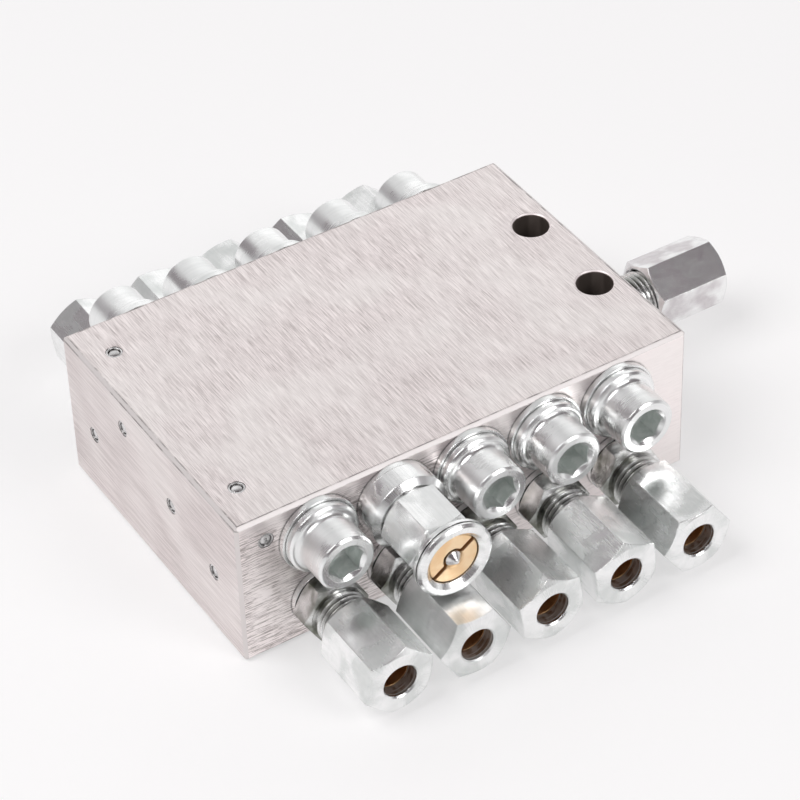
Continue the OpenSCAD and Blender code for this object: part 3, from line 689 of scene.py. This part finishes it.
class DIVIDER_OT_stage(bpy.types.Operator):
    """Lay the floor and set the lamps, the sky and the camera"""

    bl_idname = "divider.stage"
    bl_label = "Stage"

    def execute(self, context):
        settings = context.scene.divider_stage
        self.lay_floor(settings)
        self.paint_sky(context.scene, settings)
        self.hang_lamp("Key lamp", settings.key_power, KEY_SIZE, KEY_PLACE)
        self.hang_lamp("Top lamp", settings.top_power, TOP_SIZE, TOP_PLACE)
        camera = bpy.data.cameras.new("Camera")
        camera.lens = settings.camera_lens
        camera.sensor_width = 36.0
        camera.clip_start, camera.clip_end = 0.01, 30.0
        holder = bpy.data.objects.new("Camera", camera)
        holder.location = CAMERA_PLACE
        holder.rotation_euler = [math.radians(angle) for angle in CAMERA_TURN]
        context.scene.collection.objects.link(holder)
        context.scene.camera = holder
        context.scene.view_settings.view_transform = "Standard"
        return {"FINISHED"}

    def lay_floor(self, settings):
        deselect()
        bpy.ops.mesh.primitive_plane_add(size=FLOOR_SIZE, location=(0, 0, -FLOOR_DROP))
        floor = bpy.context.object
        floor.name = "Floor"
        bpy.ops.object.transform_apply(location=True, rotation=False, scale=False)
        made, g = new_material("Pale floor")
        grain = g.noise(g.millimetres(), 0.02, detail=3.0)
        paler = [min(1.0, part * 1.02) for part in settings.floor_colour]
        base = g.mix(grain, settings.floor_colour, paler)
        paint = g.node("BsdfPrincipled", {"Base Color": base, "Roughness": 0.85})
        glow = g.node("Emission", {"Color": (1, 1, 1), "Strength": 1.0})
        path = g.node("LightPath").outputs
        seen = g.math("MAXIMUM", path["Is Camera Ray"], path["Is Glossy Ray"])
        seen = g.math("MAXIMUM", seen, path["Is Transmission Ray"])
        factor = g.times(seen, settings.floor_glow)
        both = g.node("MixShader", {0: factor, 1: paint.outputs[0], 2: glow.outputs[0]})
        g.node("OutputMaterial", {"Surface": both.outputs[0]})
        floor.data.materials.append(made)

    def paint_sky(self, scene, settings):
        world = bpy.data.worlds.new("Studio sky")
        world.use_nodes = True
        scene.world = world
        g = Graph(world.node_tree)
        way = g.node("TexCoord").outputs["Generated"]
        x, y, z = g.split(way)
        behind = g.times(g.ramp(y, 0.1, 0.55), g.ramp(z, 0.9, 0.68))
        behind = g.times(behind, g.ramp(x, -0.5, -0.02, 0.24, 1.0))
        white = g.times(behind, settings.sky_panel)
        low = g.ramp(z, 0.3, 0.08)
        light = g.math("MAXIMUM", g.math("MAXIMUM", white, low), settings.sky_dark)
        tint = g.mix(g.ramp(light, 0.25, 0.6), (1.0, 0.91, 0.95), (1.0, 1.0, 1.0))
        sky = g.node("Background", {"Color": tint, "Strength": light})
        g.node("OutputWorld", {"Surface": sky.outputs[0]})

    def hang_lamp(self, name, power, size, place):
        lamp = bpy.data.lights.new(name, "AREA")
        lamp.shape = "DISK"
        lamp.size = size
        lamp.energy = power
        holder = bpy.data.objects.new(name, lamp)
        holder.location = place
        aim = middle("block") * MM - holder.location
        holder.rotation_euler = aim.to_track_quat("-Z", "Y").to_euler()
        bpy.context.scene.collection.objects.link(holder)


class DIVIDER_OT_block(bpy.types.Operator):
    """Give the block its ground finish"""

    bl_idname = "divider.block"
    bl_label = "Block"

    def execute(self, context):
        dress(ground_material(context.scene.divider_finish), "block")
        return {"FINISHED"}


class DIVIDER_OT_closers(bpy.types.Operator):
    """Give the pressed plugs of the drillings their bright finish"""

    bl_idname = "divider.closers"
    bl_label = "Pressed plugs"

    def execute(self, context):
        finish = context.scene.divider_finish
        dull = [part * 0.62 for part in finish.bright]
        steel = plain_metal("Pressed plug steel", finish, finish.bright, dull, 0.18, 0.34, 1.2)
        dress(steel, "drilling_closers")
        return {"FINISHED"}


class DIVIDER_OT_plugs(bpy.types.Operator):
    """Give the closure plugs and all sealing washers their zinc"""

    bl_idname = "divider.plugs"
    bl_label = "Closure plugs"

    def execute(self, context):
        finish = context.scene.divider_finish
        # The plug's hexagon socket gets painted shade inside, down from its rim.
        plug = zinc_material(
            "Zinc plug", finish, plug_place, "turned", 0.16, finish.zinc_film, (0.2, 0.36),
            inside=(SOCKET_R, PLUG_END - SOCKET_RIM, finish.socket),
        )
        dress(plug, "near_plugs", "far_plugs")
        washer = zinc_material(
            "Zinc washer", finish, plug_place, "turned", 0.3, finish.zinc_film, (0.2, 0.36)
        )
        dress(washer, "plug_washers", "fitting_washers")
        return {"FINISHED"}


class DIVIDER_OT_fittings(bpy.types.Operator):
    """Give the stubs and union nuts of the outlets and the inlet their zinc"""

    bl_idname = "divider.fittings"
    bl_label = "Tube fittings"

    def execute(self, context):
        finish = context.scene.divider_finish
        plain, smoky = finish.zinc_film, finish.inlet_film
        dull = "near_nut_2"
        nuts = [name for name in each("{}_nut_{}") if name != dull]
        for name, place, end, film, film_colour, rough, nodes in (
            ("Zinc nut", outlet_place, OUTLET_END, 0.45, plain, (0.19, 0.33), nuts),
            ("Dull zinc nut", outlet_place, OUTLET_END, 0.45, plain, (0.4, 0.5), [dull]),
            ("Zinc inlet nut", inlet_place, INLET_END, 0.6, smoky, (0.15, 0.2), ["inlet_nut"]),
        ):
            # Painted shade with old lubricant inside the nut's bore, with rings of painted
            # highlight.
            inside = (MOUTH_R + NUT_OIL_AND_SHADE, end - NUT_RIM, finish.oil)
            nut = zinc_material(
                name, finish, place, "drawn", film, film_colour, rough,
                inside=inside, ring_highlight=0.9,
            )
            dress(nut, *nodes)
        for name, place, end, nodes in (
            ("Zinc stub", outlet_place, OUTLET_END, each("{}_stub_{}")),
            ("Zinc inlet stub", inlet_place, INLET_END, ["inlet_stub"]),
        ):
            # Painted shade with old lubricant inside the stub's bore, with rings of painted
            # highlight.
            inside = (MOUTH_R + STUB_OIL_AND_SHADE, end, finish.oil)
            stub = zinc_material(
                name, finish, place, "turned", 1.0, finish.stub_film, (0.2, 0.36),
                inside=inside, ring_highlight=0.4,
            )
            dress(stub, *nodes)
        return {"FINISHED"}


class DIVIDER_OT_threads(bpy.types.Operator):
    """Wind the thread on the bare necks between the stubs and the nuts"""

    bl_idname = "divider.threads"
    bl_label = "Neck threads"

    def execute(self, context):
        finish, sizes = context.scene.divider_finish, context.scene.divider_thread
        zinc = zinc_material(
            "Zinc thread", finish, outlet_place, "turned", 0.5, finish.stub_film, (0.18, 0.32)
        )
        first = self.wind(sizes)
        first.data.materials.append(zinc)
        for side, turn, sign in (("near", 0.0, -1), ("far", math.pi, 1)):
            for number in NUMBERS:
                x = FIRST_X + (number - 1) * PITCH
                out = FACE_Y + sizes.start * PER_MM
                place = (x, sign * out, OUTLET_Z)
                copy_to(first, f"{side}_thread_{number}", turn, place)
        out = INLET_X + sizes.inlet_start * PER_MM
        copy_to(first, "inlet_thread", math.pi / 2, (out, 0, INLET_Z))
        bpy.data.objects.remove(first)
        return {"FINISHED"}

    def wind(self, sizes):
        """One right-hand thread about Y, running from the origin towards -Y, with closed ends."""
        deselect()
        bpy.ops.mesh.primitive_plane_add(size=1.0)
        made = bpy.context.object
        made.name = "thread"
        bpy.ops.object.mode_set(mode="EDIT")
        depth, width = sizes.crest - sizes.root, sizes.pitch * ROOT_SHARE
        half_way = sizes.root + depth / 2
        bpy.ops.mesh.select_all(action="SELECT")
        bpy.ops.transform.resize(value=(depth, width, 1.0), center_override=(0, 0, 0))
        bpy.ops.transform.translate(value=(half_way, 0, 0))
        bpy.ops.mesh.delete(type="ONLY_FACE")
        bpy.ops.object.mode_set(mode="OBJECT")
        for vertex in made.data.vertices:
            vertex.select = vertex.co.x > half_way
        for edge in made.data.edges:
            edge.select = all(made.data.vertices[k].select for k in edge.vertices)
        bpy.ops.object.mode_set(mode="EDIT")
        bpy.ops.transform.resize(
            value=(1.0, CREST_SHARE, 1.0), center_override=(sizes.crest, 0, 0)
        )
        bpy.ops.object.mode_set(mode="OBJECT")
        coil_up(made, sizes.pitch, sizes.turns, THREAD_STEPS)
        return made


class DIVIDER_OT_indicator(bpy.types.Operator):
    """Finish the indicator's housing, gland, seal and pin"""

    bl_idname = "divider.indicator"
    bl_label = "Indicator"

    def execute(self, context):
        finish = context.scene.divider_finish
        housing = zinc_material(
            "Zinc indicator", finish, plug_place, "drawn", 0.2, finish.zinc_film, (0.18, 0.34)
        )
        dress(housing, "indicator_housing")
        dress(gland_material(finish), "indicator_gland")
        dress(rubber_material(finish), "indicator_seal")
        dull = [part * 0.7 for part in finish.bright]
        steel = plain_metal("Pin steel", finish, finish.bright, dull, 0.12, 0.28, 2.0)
        dress(steel, "indicator_pin")
        return {"FINISHED"}


class DIVIDER_OT_springs(bpy.types.Operator):
    """Wind the springs of the check valves"""

    bl_idname = "divider.springs"
    bl_label = "Valve springs"

    def execute(self, context):
        finish, sizes = context.scene.divider_finish, context.scene.divider_spring
        dull = [part * 0.6 for part in finish.wire]
        low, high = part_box("near_spring_1")
        first = self.wind(sizes, high.y - low.y)
        wire = plain_metal("Spring wire", finish, finish.wire, dull, 0.25, 0.4, 0.8)
        first.data.materials.append(wire)
        for joint in frame["record"]["behaviour"]["joints"]:
            for soft in joint.get("deforming_nodes", ()):
                self.fit(first, joint, soft["node"], soft["fixed_end_y_m"])
        bpy.data.objects.remove(first)
        return {"FINISHED"}

    def wind(self, sizes, reach):
        """One spring about Y that reaches from the origin so far towards -Y."""
        deselect()
        bpy.ops.mesh.primitive_circle_add(vertices=WIRE_SIDES, radius=sizes.wire / 2)
        made = bpy.context.object
        made.name = "spring"
        bpy.ops.object.mode_set(mode="EDIT")
        bpy.ops.mesh.select_all(action="SELECT")
        bpy.ops.transform.translate(value=(sizes.coil, -sizes.wire / 2, 0))
        bpy.ops.object.mode_set(mode="OBJECT")
        coil_up(made, (reach - sizes.wire) / sizes.turns, sizes.turns, SPRING_STEPS)
        return made

    def fit(self, first, joint, node, stop):
        """Puts a spring in the place of its node, in a mesh of its own, and hides the node."""
        low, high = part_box(node)
        place = (FIRST_X + (int(node[-1]) - 1) * PITCH, high.y * PER_MM, OUTLET_Z)
        spring = copy_to(first, node + "_coil", 0.0, place)
        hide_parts(node)
        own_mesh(spring)


class DIVIDER_OT_inside(bpy.types.Operator):
    """Finish the pistons, check valves and cutting rings inside"""

    bl_idname = "divider.inside"
    bl_label = "Pistons and valves"

    def execute(self, context):
        finish = context.scene.divider_finish
        # The sixth value is how strong the painted shade and grime in the seams are.
        for name, base, low, high, size, grime_and_shade_share, nodes in (
            ("Piston steel", finish.bright, 0.1, 0.24, 9.0, 0.9, [f"piston_{n}" for n in NUMBERS]),
            ("Ball steel", finish.bright, 0.06, 0.16, 2.0, 0.9, each("{}_ball_{}")),
            ("Ring bronze", finish.bronze, 0.3, 0.5, 2.0, 0.1, ["cutting_rings"]),
            ("Valve brass", finish.brass, 0.2, 0.36, 2.0, 0.5, ["valve_seats"]),
        ):
            dull = [part * 0.7 for part in base]
            dress(plain_metal(name, finish, base, dull, low, high, size, grime_and_shade_share), *nodes)
        return {"FINISHED"}


class DIVIDER_PT_sidebar(bpy.types.Panel):
    """Lists the steps that finish the divider block"""

    bl_idname = "DIVIDER_PT_sidebar"
    bl_label = "Lubricant Divider Block"
    bl_space_type = "VIEW_3D"
    bl_region_type = "UI"
    bl_category = "Divider"

    def draw(self, context):
        for step in STEPS:
            self.layout.operator(step.bl_idname)
        for name in SETTINGS:
            settings = getattr(context.scene, name)
            box = self.layout.box()
            for field in settings.bl_rna.properties:
                if field.identifier not in ("rna_type", "name"):
                    box.prop(settings, field.identifier)


SETTINGS = {
    "divider_stage": StageSettings,
    "divider_finish": FinishSettings,
    "divider_thread": ThreadSettings,
    "divider_spring": SpringSettings,
}
STEPS = (
    DIVIDER_OT_stage,
    DIVIDER_OT_block,
    DIVIDER_OT_closers,
    DIVIDER_OT_plugs,
    DIVIDER_OT_fittings,
    DIVIDER_OT_threads,
    DIVIDER_OT_indicator,
    DIVIDER_OT_springs,
    DIVIDER_OT_inside,
)
CLASSES = (*SETTINGS.values(), *STEPS, DIVIDER_PT_sidebar)


def register():
    for made in CLASSES:
        bpy.utils.register_class(made)
    for name, group in SETTINGS.items():
        setattr(bpy.types.Scene, name, PointerProperty(type=group))


def unregister():
    for name in SETTINGS:
        delattr(bpy.types.Scene, name)
    for made in reversed(CLASSES):
        bpy.utils.unregister_class(made)


def main():
    """Runs every step in order."""
    register()
    shared_groups()
    for step in STEPS:
        family, name = step.bl_idname.split(".")
        getattr(getattr(bpy.ops, family), name)()
    deselect()


if __name__ == "__main__":
    main()
